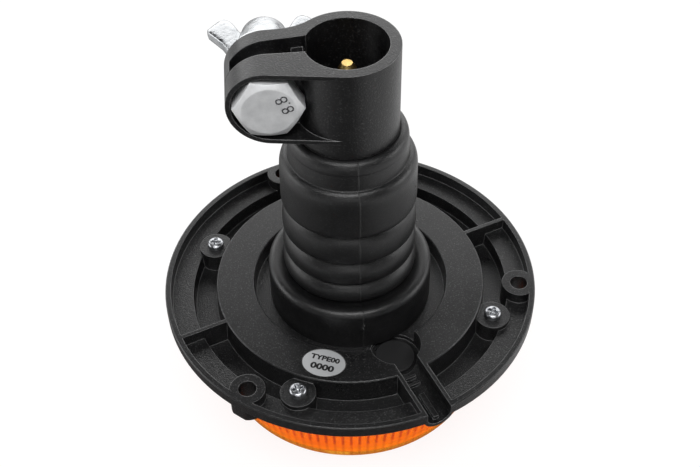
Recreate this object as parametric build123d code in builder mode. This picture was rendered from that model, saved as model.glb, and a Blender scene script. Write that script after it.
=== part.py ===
from build123d import *
import math
import os

# Warning light on a flexible stem, for a 24 mm pole. Millimetres and degrees.
# It lies turned over: the lens face rests on Z = 0 and the pole socket opens upwards,
# with its clamp ears along -X and the clamp bolt along Y.

os.makedirs("parts", exist_ok=True)

# Base housing
plateau_outer_radius = 45.6
plateau_width = 12.8
plateau_inner_radius = plateau_outer_radius - plateau_width
channel_width = 8.2
shelf_inner_radius = plateau_outer_radius + channel_width
shelf_width = 7.3
rim_width = 1.9
rim_radius = shelf_inner_radius + shelf_width + rim_width
rim_height = 4.0
edge_chamfer = 0.3
base_wall = 2.4
shelf_depth = 4.0
channel_depth = 9.0
recess_depth = 5.5
wall_draft = 0.4
rib_thickness = 1.3
# The base is screwed on a few degrees round from the clamp ears
base_turn = -9.2
rib_angles = (base_turn + 30, base_turn + 210)
lead_hole_radius = 8.0

# Lens
lens_height = 30.1
flange_overlap = 0.6
lens_flange_radius = shelf_inner_radius + flange_overlap
lens_flange_thickness = 3.0
flange_width = 3.4
lens_top_radius = lens_flange_radius - flange_width
lens_narrowing = 4.3
lens_end_radius = lens_top_radius - lens_narrowing
lens_edge_radius = 5.0
lens_wall = 2.4
lens_flutes = 96
flute_depth = 0.7
lens_boss_radius = 3.4
lens_boss_depth = 3.0
gasket_thickness = 1.0
gasket_width = 4.8

# Mounting holes in the rim
mount_hole_radius = 2.9
mount_inset = 5.5
mount_circle_radius = rim_radius - mount_inset
mount_boss_radius = 5.7
mount_angles = (base_turn - 120, base_turn, base_turn + 120)

# Lens screws
cover_screw_inset = 3.5
cover_screw_circle = shelf_inner_radius - cover_screw_inset
cover_screw_angles = (base_turn - 105, base_turn - 15, base_turn + 75, base_turn + 165)
cover_boss_radius = 5.7
cover_boss_depth = 2.2
cover_screw_radius = 1.75
cover_screw_length = 15.0
cover_head_radius = 2.8
cover_head_height = 2.1
screw_clearance = 0.3

# Cable channel and its blanking plug
duct_angle = base_turn - 60
duct_width = 8.1
duct_wall = 1.3
duct_straight = 2.3
pocket_shift = 0.7
pocket_distance = plateau_inner_radius + pocket_shift
pocket_radius = 8.3
pocket_depth = 7.2
plug_radius = 6.65
plug_head = 1.0
plug_stem_radius = 4.9
grip_bar_width = 1.8
grip_bar_height = 1.3
tie_block = 3.8

# Pole socket
mouth_height = 96.8
bore_radius = 12.25
socket_wall = 3.35
socket_radius = bore_radius + socket_wall
bore_depth = 42.0
floor_thickness = 6.0
neck_step = 1.2
neck_radius = socket_radius - neck_step
barb_reach = 1.8
barb_radius = neck_radius + barb_reach
barb_height = 2.5
barb_above_floor = 2.2

# Rubber stem: its collar fits the socket, its rings and foot are wider than the collar
collar_wall = 3.0
collar_round = 2.6
collar_radius = socket_radius + collar_wall
ring_step = 2.9
ring_radius = collar_radius + ring_step
foot_radius = 27.3
foot_height = 16.8
foot_round = (foot_radius - ring_radius) / 2
stem_bore_radius = 8.0
ring_edge_depth = 1.1
ring_edge_radius = ring_radius - ring_edge_depth
ring_groove_depth = 2.3
ring_groove_radius = ring_radius - ring_groove_depth
ring_edge_height = 0.9
ring_rise = 2.1
ring_shoulder = 3.1
first_groove = 18.9
second_groove = 28.6
third_groove = 39.2
band_top_height = 57.0
band_round = 2.4
collar_top = 66.8
rubber_clearance = 0.25

# Insert, retainer and their screws
insert_cover = 5.3
insert_radius = foot_radius - insert_cover
insert_thickness = 6.5
insert_sleeve_radius = 10.0
insert_sleeve_height = 12.5
insert_barb_radius = 13.0
insert_bore_radius = 7.5
retainer_gap = 2.0
retainer_radius = pocket_distance - pocket_radius - base_wall / 2 - retainer_gap
retainer_thickness = 2.0
stem_screw_inset = 6.0
stem_screw_circle = insert_radius - stem_screw_inset
stem_screw_radius = 2.0
stem_head_radius = 3.5
stem_head_height = 2.4
stem_screw_count = 4

# Boards and light parts
post_radius = 3.2
post_inset = 6.4
post_circle = plateau_outer_radius - post_inset
heat_sink_depth = 16.0
heat_sink_gap = 5.5
heat_sink_radius = lens_top_radius - heat_sink_gap
heat_sink_thickness = 2.0
heat_sink_hole_radius = 9.0
board_margin = 0.5
board_radius = heat_sink_radius - board_margin
board_thickness = 1.6
board_screw_radius = 1.4
board_screw_length = 11.0
board_head_radius = 2.7
board_head_height = 1.8
led_count = 16
led_inset = 14.0
led_circle = board_radius - led_inset
led_size = 3.2
led_height = 1.0
led_dome_radius = 1.2
led_dome_height = 0.5
reflector_gap = 9.2
reflector_end_radius = lens_end_radius - reflector_gap
reflector_flare = 10.0
reflector_top_radius = reflector_end_radius - reflector_flare
reflector_foot = 3.5
reflector_inner_radius = reflector_top_radius - reflector_foot
reflector_height = 14.0
reflector_wall = 1.4
inductor_radius = 5.0
inductor_height = 6.0
capacitor_radius = 4.0
capacitor_height = 9.0
driver_circle_radius = 12.0
chip_size = 6.0
chip_height = 1.6
connector_width = 8.0
connector_height = 6.5
lead_radius = 0.9
lead_spacing = 4.0

# Clamp ears: the front ear holds the bolt head, the back ear the nut
bolt_distance = 7.5
bolt_offset = socket_radius + bolt_distance
ear_radius = 12.2
ear_front_taper = 8.3
ear_back_tip = 8.1
ear_back_taper = 2.3
slot_front = 2.8
slot_back_tip = 2.05
slot_back_taper = 6.7
slot_below_ear = 2.5
ear_recess_radius = 10.8
ear_recess_shift = 0.1
ear_web = 3.0
ear_lip = 1.9
ear_lip_gap = 0.6
back_blend = 16.0
nut_face = 8.0
washer_seat_radius = 11.6
slot_web_thickness = 3.4
slot_web_top = 3.8
slot_web_height = 8.0
slot_web_width = 9.6
slot_web_shift = 0.8

# Clamp bolt, washer and wing nut
bolt_radius = 5.95
bolt_hole_radius = 6.4
bolt_length = 31.2
bolt_end_chamfer = 1.0
hex_flats = 18.0
hex_height = 7.5
hex_face_radius = 7.9
hex_chamfer_angle = 30
hex_turn = 3.0
washer_radius = 11.2
washer_thickness = 2.5
running_clearance = 0.05
nut_hub_base_radius = 9.8
nut_hub_top_radius = 7.5
nut_hub_height = 13.0
wing_reach = 17.2
wing_rise = 20.2
wing_thickness = 2.8
wing_corner = 5.5
wing_corner_drop = 5.0
wing_corner_round = 1.8
wing_waist = 11.8
wing_waist_height = 8.0
wing_root_height = 2.0

# Contacts
pin_radius = 2.75
pin_tip_radius = 1.62
pin_tip_height = 2.0
pin_below_mouth = 6.8
pin_flange_radius = 4.2
pin_flange_height = 1.5
holder_radius = 6.5
holder_flange_radius = 9.0
holder_flange_height = 2.0
holder_below_floor = 8.8
holder_above_floor = 6.0
holder_bore_radius = 4.6
holder_top_wall = 2.0
terminal_thickness = 1.2
terminal_inset = 1.4
spring_wire_radius = 0.35
spring_turns = 5
ground_strip_width = 4.0
ground_strip_thickness = 0.5
ground_strip_height = 28.0
ground_foot_length = 2.6
ground_angle = -98.0

# Oval label
label_length = 13.9
label_height = 10.6
label_thickness = 0.2
label_shift = 0.6
label_distance = (plateau_inner_radius + plateau_outer_radius) / 2 - label_shift
label_clearance = 0.1
label_angle = -107.7

# Heights worked out from the sizes above
flange_face = lens_height + gasket_thickness
rim_top = flange_face + base_wall + channel_depth
shelf_top = rim_top - shelf_depth
channel_floor = rim_top - channel_depth
recess_floor = rim_top - recess_depth
recess_underside = recess_floor - base_wall
cover_seat = rim_top - cover_boss_depth
pocket_floor = rim_top - pocket_depth
split_z = rim_top + second_groove
collar_z = rim_top + collar_top
mouth_z = rim_top + mouth_height
floor_z = mouth_z - bore_depth
neck_bottom = floor_z - floor_thickness
bolt_z = mouth_z - ear_radius
retainer_bottom = recess_underside - retainer_thickness
heat_sink_top = rim_top - heat_sink_depth
board_top = heat_sink_top - heat_sink_thickness
board_face = board_top - board_thickness
connector_top = board_top + connector_height
rim_inner_radius = rim_radius - rim_width
drum_radius = shelf_inner_radius + base_wall - 2 * wall_draft
recess_y = -(slot_front + ear_web)
ear_end = bolt_offset + ear_radius


def ear_side(y):
    """Upright plane across the ears at a place along Y, facing the bolt head."""
    return Plane.XZ.offset(-y)


def bolt_face(y):
    """Plane square to the bolt, centred on it, facing the nut."""
    return Plane(origin=(-bolt_offset, y, bolt_z), x_dir=(-1, 0, 0), z_dir=(0, 1, 0))


def polar_point(radius, angle):
    """Point at a radius and an angle round Z."""
    return (radius * math.cos(math.radians(angle)), radius * math.sin(math.radians(angle)))


def star_points(outer, inner, count):
    """Closed star outline with count points, outer and inner radii taking turns."""
    points = []
    for index in range(2 * count):
        radius = outer if index % 2 == 0 else inner
        points.append(polar_point(radius, 180 * index / count))
    return points


def arc_middle(start, end):
    """Middle of the rounded shoulder between a wall at start and a face at end."""
    centre = (end[0], start[1])
    half = math.sqrt(0.5)
    return (
        centre[0] + (start[0] - centre[0]) * half,
        centre[1] + (end[1] - centre[1]) * half,
    )


# Lens: a low dome with a screw flange, its wall ribbed inside by upright flutes
with BuildPart() as lens:
    with BuildSketch(Plane.XZ):
        with BuildLine():
            flat_radius = lens_end_radius - lens_edge_radius
            edge_start = (lens_end_radius, lens_edge_radius)
            edge_end = (flat_radius, 0)
            Polyline(
                (flat_radius, 0),
                (0, 0),
                (0, lens_height),
                (lens_flange_radius, lens_height),
                (lens_flange_radius, lens_height - lens_flange_thickness),
                (lens_top_radius, lens_height - lens_flange_thickness),
                edge_start,
            )
            ThreePointArc(edge_start, arc_middle(edge_start, edge_end), edge_end)
        make_face()
    revolve(axis=Axis.Z)
    boss_bottom = lens_height - lens_flange_thickness - lens_boss_depth
    with BuildSketch(Plane.XY.offset(boss_bottom)):
        for angle in cover_screw_angles:
            with Locations(polar_point(cover_screw_circle, angle)):
                Circle(lens_boss_radius)
    extrude(amount=lens_boss_depth)
    inner_end = lens_end_radius - lens_wall - lens_edge_radius / 3
    inner_top = lens_top_radius - lens_wall
    with BuildSketch(Plane.XY.offset(lens_wall)):
        with BuildLine():
            Polyline(*star_points(inner_end, inner_end - flute_depth, lens_flutes), close=True)
        make_face()
    with BuildSketch(Plane.XY.offset(lens_height)):
        with BuildLine():
            Polyline(*star_points(inner_top, inner_top - flute_depth, lens_flutes), close=True)
        make_face()
    loft(ruled=True, mode=Mode.SUBTRACT)
    screw_bottom = cover_seat - cover_screw_length
    with BuildSketch(Plane.XY.offset(screw_bottom)):
        for angle in cover_screw_angles:
            with Locations(polar_point(cover_screw_circle, angle)):
                Circle(cover_screw_radius)
    extrude(amount=lens_height - screw_bottom, mode=Mode.SUBTRACT)

# Flat gasket between the lens flange and the housing, with a hole for each screw
with BuildPart() as lens_gasket:
    with BuildSketch(Plane.XY.offset(lens_height)):
        Circle(lens_flange_radius)
        Circle(lens_flange_radius - gasket_width - edge_chamfer, mode=Mode.SUBTRACT)
        for angle in cover_screw_angles:
            with Locations(polar_point(cover_screw_circle, angle)):
                Circle(cover_screw_radius + screw_clearance, mode=Mode.SUBTRACT)
    extrude(amount=gasket_thickness)

# Base housing: one moulded shell turned about Z, then bosses, ribs, duct and holes
duct_x, duct_y = polar_point(1, duct_angle)
duct_plane = Plane(origin=(0, 0, 0), x_dir=(-duct_y, duct_x, 0), z_dir=(duct_x, duct_y, 0))
duct_half = duct_width / 2
duct_bottom = rim_top - duct_straight - duct_half
with BuildPart() as base_housing:
    with BuildSketch(Plane.XZ):
        with BuildLine():
            Polyline(
                (lead_hole_radius, recess_floor),
                (plateau_inner_radius - wall_draft, recess_floor),
                (plateau_inner_radius, rim_top - edge_chamfer),
                (plateau_inner_radius + edge_chamfer, rim_top),
                (plateau_outer_radius - edge_chamfer, rim_top),
                (plateau_outer_radius, rim_top - edge_chamfer),
                (plateau_outer_radius + wall_draft, channel_floor),
                (shelf_inner_radius - wall_draft, channel_floor),
                (shelf_inner_radius, shelf_top),
                (rim_inner_radius - wall_draft / 2, shelf_top),
                (rim_inner_radius, rim_top),
                (rim_radius - edge_chamfer, rim_top),
                (rim_radius, rim_top - edge_chamfer),
                (rim_radius, rim_top - rim_height),
                (rim_radius - base_wall, shelf_top - base_wall),
                (drum_radius, shelf_top - base_wall),
                (drum_radius, flange_face),
                (plateau_outer_radius - base_wall, flange_face),
                (plateau_outer_radius - base_wall, rim_top - base_wall),
                (plateau_inner_radius + base_wall, rim_top - base_wall),
                (plateau_inner_radius + base_wall, recess_underside),
                (lead_hole_radius, recess_underside),
                close=True,
            )
        make_face()
    revolve(axis=Axis.Z)
    with BuildSketch(Plane.XY.offset(channel_floor)):
        for angle in mount_angles:
            with Locations(polar_point(mount_circle_radius, angle)):
                Circle(mount_boss_radius)
        Circle(rim_radius - edge_chamfer, mode=Mode.INTERSECT)
    extrude(amount=channel_depth)
    with BuildSketch(Plane.XY.offset(channel_floor)):
        for angle in cover_screw_angles:
            with Locations(polar_point(cover_screw_circle, angle)):
                Circle(cover_boss_radius)
    extrude(amount=channel_depth - cover_boss_depth)
    with BuildSketch(Plane.XY.offset(channel_floor)):
        rib_middle = (plateau_outer_radius + rim_inner_radius) / 2
        rib_length = rim_inner_radius - plateau_outer_radius + rim_width
        for angle in rib_angles:
            with Locations(Location((*polar_point(rib_middle, angle), 0), angle)):
                Rectangle(rib_length, rib_thickness)
    extrude(amount=channel_depth)
    with BuildSketch(Plane.XY.offset(heat_sink_top)):
        for angle in cover_screw_angles:
            with Locations(polar_point(post_circle, angle)):
                Circle(post_radius)
    extrude(amount=heat_sink_depth - base_wall)
    with BuildSketch(Plane.XY.offset(pocket_floor - base_wall)):
        with Locations(polar_point(pocket_distance, duct_angle)):
            Circle(pocket_radius + base_wall / 2)
    extrude(amount=pocket_depth + base_wall - edge_chamfer)
    with BuildSketch(Plane.XY.offset(recess_floor)):
        Circle(plateau_inner_radius - wall_draft)
    extrude(amount=recess_depth, mode=Mode.SUBTRACT)
    with BuildSketch(duct_plane.offset(plateau_outer_radius - 2 * base_wall)):
        with Locations((0, rim_top - channel_depth / 2)):
            Rectangle(duct_width + 2 * duct_wall, channel_depth)
    extrude(amount=shelf_inner_radius - plateau_outer_radius + 2 * base_wall)
    with BuildSketch(duct_plane.offset(shelf_inner_radius)):
        with BuildLine():
            Polyline(
                (-duct_half - duct_wall, rim_top - duct_straight),
                (-duct_half - duct_wall, rim_top),
                (duct_half + duct_wall, rim_top),
                (duct_half + duct_wall, rim_top - duct_straight),
            )
            ThreePointArc(
                (-duct_half - duct_wall, rim_top - duct_straight),
                (0, duct_bottom - duct_wall),
                (duct_half + duct_wall, rim_top - duct_straight),
            )
        make_face()
    extrude(amount=rim_radius - shelf_inner_radius - edge_chamfer)
    with BuildSketch(duct_plane.offset(pocket_distance)):
        with BuildLine():
            Polyline(
                (-duct_half, rim_top - duct_straight),
                (-duct_half, mouth_z),
                (duct_half, mouth_z),
                (duct_half, rim_top - duct_straight),
            )
            ThreePointArc(
                (-duct_half, rim_top - duct_straight),
                (0, duct_bottom),
                (duct_half, rim_top - duct_straight),
            )
        make_face()
    extrude(amount=rim_radius, mode=Mode.SUBTRACT)
    with BuildSketch(Plane.XY.offset(pocket_floor)):
        with Locations(polar_point(pocket_distance, duct_angle)):
            Circle(pocket_radius)
    extrude(amount=pocket_depth, mode=Mode.SUBTRACT)
    with BuildSketch(Plane.XY.offset(duct_bottom - duct_wall / 2)):
        bar_start = shelf_inner_radius - base_wall
        bar_end = rim_inner_radius
        with Locations(Location((*polar_point((bar_start + bar_end) / 2, duct_angle), 0), duct_angle)):
            Rectangle(bar_end - bar_start, grip_bar_width)
        with Locations(Location((*polar_point(plateau_outer_radius, duct_angle), 0), duct_angle)):
            Rectangle(tie_block, tie_block)
            Rectangle(tie_block / 2, tie_block, mode=Mode.SUBTRACT)
    extrude(amount=grip_bar_height + duct_wall / 2)
    with BuildSketch(Plane.XY.offset(pocket_floor - base_wall)):
        with Locations(polar_point(pocket_distance, duct_angle)):
            Circle(plug_stem_radius)
    extrude(amount=base_wall, mode=Mode.SUBTRACT)
    with BuildSketch(Plane.XY.offset(heat_sink_top)):
        for angle in mount_angles:
            with Locations(polar_point(mount_circle_radius, angle)):
                Circle(mount_hole_radius)
    extrude(amount=heat_sink_depth, mode=Mode.SUBTRACT)
    with BuildSketch(Plane.XY.offset(heat_sink_top)):
        for angle in cover_screw_angles:
            with Locations(polar_point(cover_screw_circle, angle)):
                Circle(cover_screw_radius + screw_clearance)
    extrude(amount=heat_sink_depth, mode=Mode.SUBTRACT)
    with BuildSketch(Plane.XY.offset(recess_underside)):
        with PolarLocations(stem_screw_circle, stem_screw_count):
            Circle(stem_screw_radius + screw_clearance)
    extrude(amount=base_wall, mode=Mode.SUBTRACT)
    with BuildSketch(Plane.XY.offset(rim_top - label_thickness)):
        with Locations(Location((*polar_point(label_distance, label_angle), 0), label_angle + 90)):
            Ellipse(label_length / 2 + label_clearance, label_height / 2 + label_clearance)
    extrude(amount=label_thickness, mode=Mode.SUBTRACT)
    with BuildSketch(Plane.XY.offset(board_face - board_head_height)):
        for angle in cover_screw_angles:
            with Locations(polar_point(post_circle, angle)):
                Circle(board_screw_radius)
    extrude(amount=board_head_height + board_screw_length, mode=Mode.SUBTRACT)

# Four pan-head screws that hold the lens
with BuildPart() as cover_screws:
    with BuildSketch(Plane.XY.offset(cover_seat - cover_screw_length)):
        for angle in cover_screw_angles:
            with Locations(polar_point(cover_screw_circle, angle)):
                Circle(cover_screw_radius)
    extrude(amount=cover_screw_length)
    with BuildSketch(Plane.XY.offset(cover_seat)):
        for angle in cover_screw_angles:
            with Locations(polar_point(cover_screw_circle, angle)):
                Circle(cover_head_radius)
    extrude(amount=cover_head_height)
    chamfer(cover_screws.edges().group_by(Axis.Z)[-1], length=cover_head_height / 3)
    with BuildSketch(Plane.XY.offset(cover_seat + cover_head_height / 2)):
        for angle in cover_screw_angles:
            with Locations(Location((*polar_point(cover_screw_circle, angle), 0), angle)):
                Rectangle(cover_head_radius, cover_head_radius / 4)
                Rectangle(cover_head_radius / 4, cover_head_radius)
    extrude(amount=cover_head_height, mode=Mode.SUBTRACT)

# Blanking plug in the pocket where a lead would enter
with BuildPart() as cable_plug:
    with BuildSketch(Plane.XY.offset(pocket_floor)):
        with Locations(polar_point(pocket_distance, duct_angle)):
            Circle(plug_radius)
    extrude(amount=plug_head)
    chamfer(cable_plug.edges().group_by(Axis.Z)[-1], length=edge_chamfer)
    with BuildSketch(Plane.XY.offset(pocket_floor - base_wall)):
        with Locations(polar_point(pocket_distance, duct_angle)):
            Circle(plug_stem_radius)
    extrude(amount=base_wall)

# Oval label, flush in its shallow seat on the plateau
with BuildPart() as oval_label:
    with BuildSketch(Plane.XY.offset(rim_top - label_thickness)):
        with Locations(Location((*polar_point(label_distance, label_angle), 0), label_angle + 90)):
            Ellipse(label_length / 2, label_height / 2)
    extrude(amount=label_thickness)

# Lower half of the rubber stem: the foot, moulded over its insert, and two rings
foot_top = recess_floor + foot_height
insert_top = recess_floor + insert_thickness
sleeve_top = recess_floor + insert_sleeve_height
barb_depth = insert_thickness / 3


def ring_outline(bottom, top):
    """Outside of one rubber ring between its grooves, from the bottom up."""
    return [
        (ring_groove_radius, bottom),
        (ring_edge_radius, bottom + ring_edge_height),
        (ring_radius, bottom + ring_rise),
        (ring_radius, top - ring_shoulder),
        (ring_edge_radius, top - ring_edge_height),
        (ring_groove_radius, top),
    ]


with BuildPart() as rubber_stem_lower:
    with BuildSketch(Plane.XZ):
        with BuildLine():
            foot_wall_end = (foot_radius, foot_top - foot_round)
            foot_top_edge = (foot_radius - foot_round, foot_top)
            Polyline((insert_radius, recess_floor), (foot_radius, recess_floor), foot_wall_end)
            ThreePointArc(foot_wall_end, arc_middle(foot_wall_end, foot_top_edge), foot_top_edge)
            Polyline(
                foot_top_edge,
                (ring_radius, foot_top - ring_edge_height / 2),
                *ring_outline(foot_top, rim_top + first_groove)[1:],
                *ring_outline(rim_top + first_groove, split_z)[1:],
                (stem_bore_radius, split_z),
                (stem_bore_radius, sleeve_top),
                (insert_barb_radius, sleeve_top),
                (insert_barb_radius, sleeve_top - barb_depth),
                (insert_sleeve_radius, sleeve_top - barb_depth),
                (insert_sleeve_radius, insert_top),
                (insert_radius, insert_top),
                (insert_radius, recess_floor),
            )
        make_face()
    revolve(axis=Axis.Z)

# Upper half of the rubber stem: a ring, the long band and the collar round the socket's neck
cavity_floor = neck_bottom - rubber_clearance
cavity_radius = neck_radius + rubber_clearance
barb_bottom = floor_z + barb_above_floor
barb_top = barb_bottom + barb_height
band_bottom = rim_top + third_groove
band_top = rim_top + band_top_height
collar_end = collar_z - rubber_clearance
with BuildPart() as rubber_stem_upper:
    with BuildSketch(Plane.XZ):
        with BuildLine():
            band_wall_end = (ring_radius, band_top - band_round)
            band_top_edge = (ring_radius - band_round, band_top)
            collar_wall_end = (collar_radius, collar_end - collar_round)
            collar_edge = (collar_radius - collar_round, collar_end)
            Polyline(
                (stem_bore_radius, split_z),
                *ring_outline(split_z, band_bottom),
                *ring_outline(band_bottom, band_top)[1:3],
                band_wall_end,
            )
            ThreePointArc(band_wall_end, arc_middle(band_wall_end, band_top_edge), band_top_edge)
            Polyline(band_top_edge, (collar_radius, band_top), collar_wall_end)
            ThreePointArc(collar_wall_end, arc_middle(collar_wall_end, collar_edge), collar_edge)
            Polyline(
                collar_edge,
                (cavity_radius, collar_end),
                (cavity_radius, barb_top + rubber_clearance),
                (barb_radius + rubber_clearance, barb_top + rubber_clearance),
                (barb_radius + rubber_clearance, barb_bottom - rubber_clearance),
                (cavity_radius, barb_bottom - rubber_clearance),
                (cavity_radius, cavity_floor),
                (stem_bore_radius, cavity_floor),
                (stem_bore_radius, split_z),
            )
        make_face()
    revolve(axis=Axis.Z)

# Steel insert in the foot, with blind threaded holes for the retainer's screws
screw_engagement = insert_thickness * 0.7
with BuildPart() as stem_insert:
    with BuildSketch(Plane.XZ):
        with BuildLine():
            Polyline(
                (insert_bore_radius, recess_floor),
                (insert_radius, recess_floor),
                (insert_radius, insert_top),
                (insert_sleeve_radius, insert_top),
                (insert_sleeve_radius, sleeve_top - barb_depth),
                (insert_barb_radius, sleeve_top - barb_depth),
                (insert_barb_radius, sleeve_top),
                (insert_bore_radius, sleeve_top),
                close=True,
            )
        make_face()
    revolve(axis=Axis.Z)
    with BuildSketch(Plane.XY.offset(recess_floor)):
        with PolarLocations(stem_screw_circle, stem_screw_count):
            Circle(stem_screw_radius)
    extrude(amount=screw_engagement, mode=Mode.SUBTRACT)

# Retainer plate under the recess floor, and its four screws
with BuildPart() as stem_retainer:
    with BuildSketch(Plane.XY.offset(retainer_bottom)):
        Circle(retainer_radius)
        Circle(insert_bore_radius, mode=Mode.SUBTRACT)
        with PolarLocations(stem_screw_circle, stem_screw_count):
            Circle(stem_screw_radius + screw_clearance, mode=Mode.SUBTRACT)
    extrude(amount=retainer_thickness)

with BuildPart() as stem_screws:
    with BuildSketch(Plane.XY.offset(retainer_bottom)):
        with PolarLocations(stem_screw_circle, stem_screw_count):
            Circle(stem_screw_radius)
    extrude(amount=retainer_thickness + base_wall + screw_engagement)
    with BuildSketch(Plane.XY.offset(retainer_bottom - stem_head_height)):
        with PolarLocations(stem_screw_circle, stem_screw_count):
            Circle(stem_head_radius)
    extrude(amount=stem_head_height)

# Aluminium heat sink, and the board that carries the light-emitting diodes
with BuildPart() as heat_sink:
    with BuildSketch(Plane.XY.offset(board_top)):
        Circle(heat_sink_radius)
        Circle(heat_sink_hole_radius, mode=Mode.SUBTRACT)
        for angle in cover_screw_angles:
            with Locations(polar_point(post_circle, angle)):
                Circle(board_screw_radius + screw_clearance, mode=Mode.SUBTRACT)
    extrude(amount=heat_sink_thickness)

with BuildPart() as led_board:
    with BuildSketch(Plane.XY.offset(board_face)):
        Circle(board_radius)
        for angle in cover_screw_angles:
            with Locations(polar_point(post_circle, angle)):
                Circle(board_screw_radius + screw_clearance, mode=Mode.SUBTRACT)
    extrude(amount=board_thickness)

with BuildPart() as board_screws:
    with BuildSketch(Plane.XY.offset(board_face)):
        for angle in cover_screw_angles:
            with Locations(polar_point(post_circle, angle)):
                Circle(board_screw_radius)
    extrude(amount=board_screw_length)
    with BuildSketch(Plane.XY.offset(board_face - board_head_height)):
        for angle in cover_screw_angles:
            with Locations(polar_point(post_circle, angle)):
                Circle(board_head_radius)
    extrude(amount=board_head_height)

with BuildPart() as leds:
    with BuildSketch(Plane.XY.offset(board_face - led_height)):
        with PolarLocations(led_circle, led_count):
            Rectangle(led_size, led_size)
    extrude(amount=led_height)
    with BuildSketch(Plane.XY.offset(board_face - led_height - led_dome_height)):
        with PolarLocations(led_circle, led_count):
            Circle(led_dome_radius)
    extrude(amount=led_dome_height)

# Conical reflector that turns the light out through the lens wall
with BuildPart() as reflector:
    with BuildSketch(Plane.XZ):
        with BuildLine():
            Polyline(
                (reflector_inner_radius, board_face),
                (reflector_top_radius, board_face),
                (reflector_end_radius, board_face - reflector_height),
                (reflector_end_radius - reflector_wall, board_face - reflector_height),
                (reflector_top_radius - reflector_wall, board_face - reflector_wall),
                (reflector_inner_radius, board_face - reflector_wall),
                close=True,
            )
        make_face()
    revolve(axis=Axis.Z)

# Driver parts soldered inside the reflector: a coil, two capacitors and a controller chip
with BuildPart() as driver_parts:
    with BuildSketch(Plane.XY.offset(board_face - inductor_height)):
        with Locations(polar_point(driver_circle_radius, 90)):
            Circle(inductor_radius)
    extrude(amount=inductor_height)
    with BuildSketch(Plane.XY.offset(board_face - capacitor_height)):
        with Locations(polar_point(driver_circle_radius, 210), polar_point(driver_circle_radius, 330)):
            Circle(capacitor_radius)
    extrude(amount=capacitor_height)
    with BuildSketch(Plane.XY.offset(board_face - chip_height)):
        Rectangle(chip_size, chip_size)
    extrude(amount=chip_height)

# Connector on the board's back, and the two leads up the hollow stem
with BuildPart() as lead_connector:
    with BuildSketch(Plane.XY.offset(board_top)):
        Rectangle(connector_width, connector_width)
    extrude(amount=connector_height)
    chamfer(lead_connector.edges().group_by(Axis.Z)[-1], length=edge_chamfer)

with BuildPart() as leads_lower:
    with BuildSketch(Plane.XY.offset(connector_top)):
        with GridLocations(lead_spacing, 0, 2, 1):
            Circle(lead_radius)
    extrude(amount=split_z - connector_top)

holder_bottom = floor_z - holder_below_floor
terminal_bottom = holder_bottom + terminal_inset
terminal_top = terminal_bottom + terminal_thickness
with BuildPart() as leads_upper:
    with BuildSketch(Plane.XY.offset(split_z)):
        with GridLocations(lead_spacing, 0, 2, 1):
            Circle(lead_radius)
    extrude(amount=terminal_bottom - split_z)

# Pole socket: tube, barbed neck and two clamp ears split by a slot. The pocket for the bolt head
# is round at the ear's end and runs out onto the tube.
front_slope = math.tan(math.radians(ear_front_taper))
back_slope = math.tan(math.radians(ear_back_taper))
slot_slope = math.tan(math.radians(slot_back_taper))
touch_x, touch_y = polar_point(socket_radius, -90 - ear_front_taper)
ear_bottom = bolt_z - ear_radius
slot_bottom = ear_bottom - slot_below_ear
with BuildPart() as head_pocket:
    with BuildSketch(ear_side(recess_y)):
        with Locations((-bolt_offset / 2, bolt_z)):
            Rectangle(bolt_offset, 2 * ear_recess_radius)
    extrude(amount=socket_radius)
    with BuildSketch(Plane.XY.offset(collar_z)):
        Circle(socket_radius)
    extrude(amount=mouth_z - collar_z, mode=Mode.SUBTRACT)
    with BuildSketch(ear_side(recess_y)):
        with Locations((-bolt_offset + ear_recess_shift, bolt_z)):
            Circle(ear_recess_radius)
    extrude(amount=socket_radius)

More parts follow.
